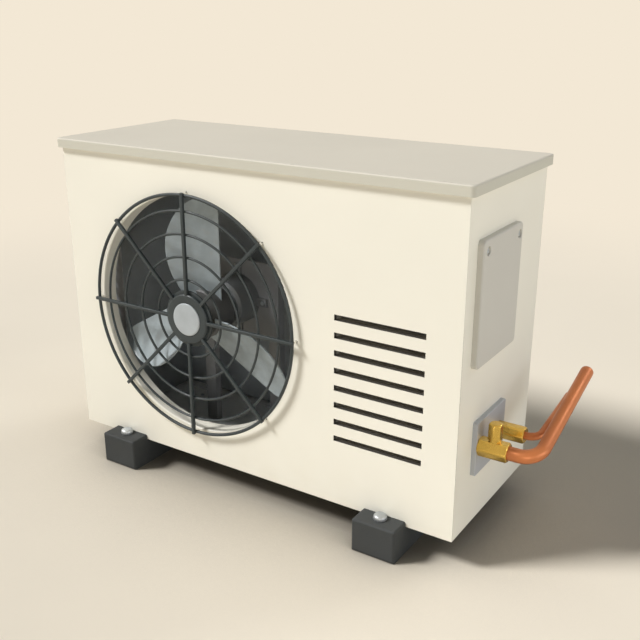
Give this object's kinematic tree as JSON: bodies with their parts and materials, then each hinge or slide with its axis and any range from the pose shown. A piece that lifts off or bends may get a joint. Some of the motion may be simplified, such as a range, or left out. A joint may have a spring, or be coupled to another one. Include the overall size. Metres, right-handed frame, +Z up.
{
  "type": "air conditioner outdoor unit",
  "caption": "Outdoor unit of a split air conditioner with a round wire-guarded fan, outlet slots, rubber foot bars and two copper line stubs on the side.",
  "frame": {"origin": "centre of the four floor-anchor holes, on the floor plane under the rubber foot bars", "axes": "+X towards the service side with the valves, +Y from the fan side to the back, +Z up"},
  "size_m": [0.9225, 0.38, 0.614],
  "materials": {
    "cream_paint": "satin",
    "beige_paint": "satin",
    "grey_blue_paint": "satin",
    "rubber": "matte",
    "zinc_steel": "satin",
    "galvanised": "matte",
    "guard_paint": "satin",
    "cap_plastic": "satin",
    "black_sheet": "matte",
    "blade_plastic": "satin",
    "black_plastic": "satin",
    "motor_paint": "satin",
    "fin_aluminium": "satin",
    "copper": "satin",
    "board_green": "satin",
    "can_aluminium": "satin",
    "brass": "satin"
  },
  "bodies": {
    "casing": {"accumulator": "motor_paint", "accumulator_strap": "galvanised", "base_pan": "cream_paint", "capacitor": "can_aluminium", "coil_bends": "copper", "coil_end_plate_left": "galvanised", "coil_end_plate_right": "galvanised", "coil_fins": "fin_aluminium", "coil_guard": "guard_paint", "compressor_grommets": "rubber", "compressor_nuts": "zinc_steel", "compressor_shell": "motor_paint", "compressor_terminal_cover": "black_plastic", "control_board": "board_green", "control_box": "galvanised", "cover_screws": "zinc_steel", "discharge_pipe": "copper", "fan_guard": "guard_paint", "fan_motor": "motor_paint", "filter_drier": "copper", "foot_bar_left": "rubber", "foot_bar_right": "rubber", "foot_bolts": "zinc_steel", "foot_inserts": "zinc_steel", "front_panel": "cream_paint", "gas_flare_nut": "brass", "gas_pipe": "copper", "gas_valve_body": "brass", "gas_valve_cap": "brass", "guard_cap": "cap_plastic", "guard_clips": "zinc_steel", "guard_hub": "guard_paint", "liquid_flare_nut": "brass", "liquid_line": "copper", "liquid_pipe": "copper", "liquid_valve_body": "brass", "louvre_baffle": "black_sheet", "motor_bracket": "galvanised", "motor_screws": "zinc_steel", "pan_screws": "zinc_steel", "panel_screws": "zinc_steel", "partition_plate": "galvanised", "rear_panel": "cream_paint", "service_cover": "beige_paint", "service_cover_screws": "zinc_steel", "side_panel_left": "cream_paint", "side_panel_right": "cream_paint", "suction_elbow": "copper", "suction_line": "copper", "terminal_block": "black_plastic", "top_cover": "cream_paint", "valve_lock_nuts": "brass", "valve_plate": "grey_blue_paint"},
    "fan": {"fan_hub": "black_plastic", "fan_blade_1": "blade_plastic", "fan_blade_2": "blade_plastic", "fan_blade_3": "blade_plastic", "fan_nut": "zinc_steel", "motor_shaft": "zinc_steel"},
    "gas_spindle": {"gas_valve_spindle": "brass"}
  },
  "joints": [
    {"name": "fan_spin", "type": "hinge", "parent": "casing", "child": "fan", "pos_m": [-0.11, -0.06, 0.325], "axis": [0, 1, 0], "continuous": true},
    {"name": "gas_valve_turn", "type": "hinge", "parent": "casing", "child": "gas_spindle", "pos_m": [0.432, -0.08, 0.2], "axis": [0, 0, 1], "range_deg": [0, 90]}
  ]
}
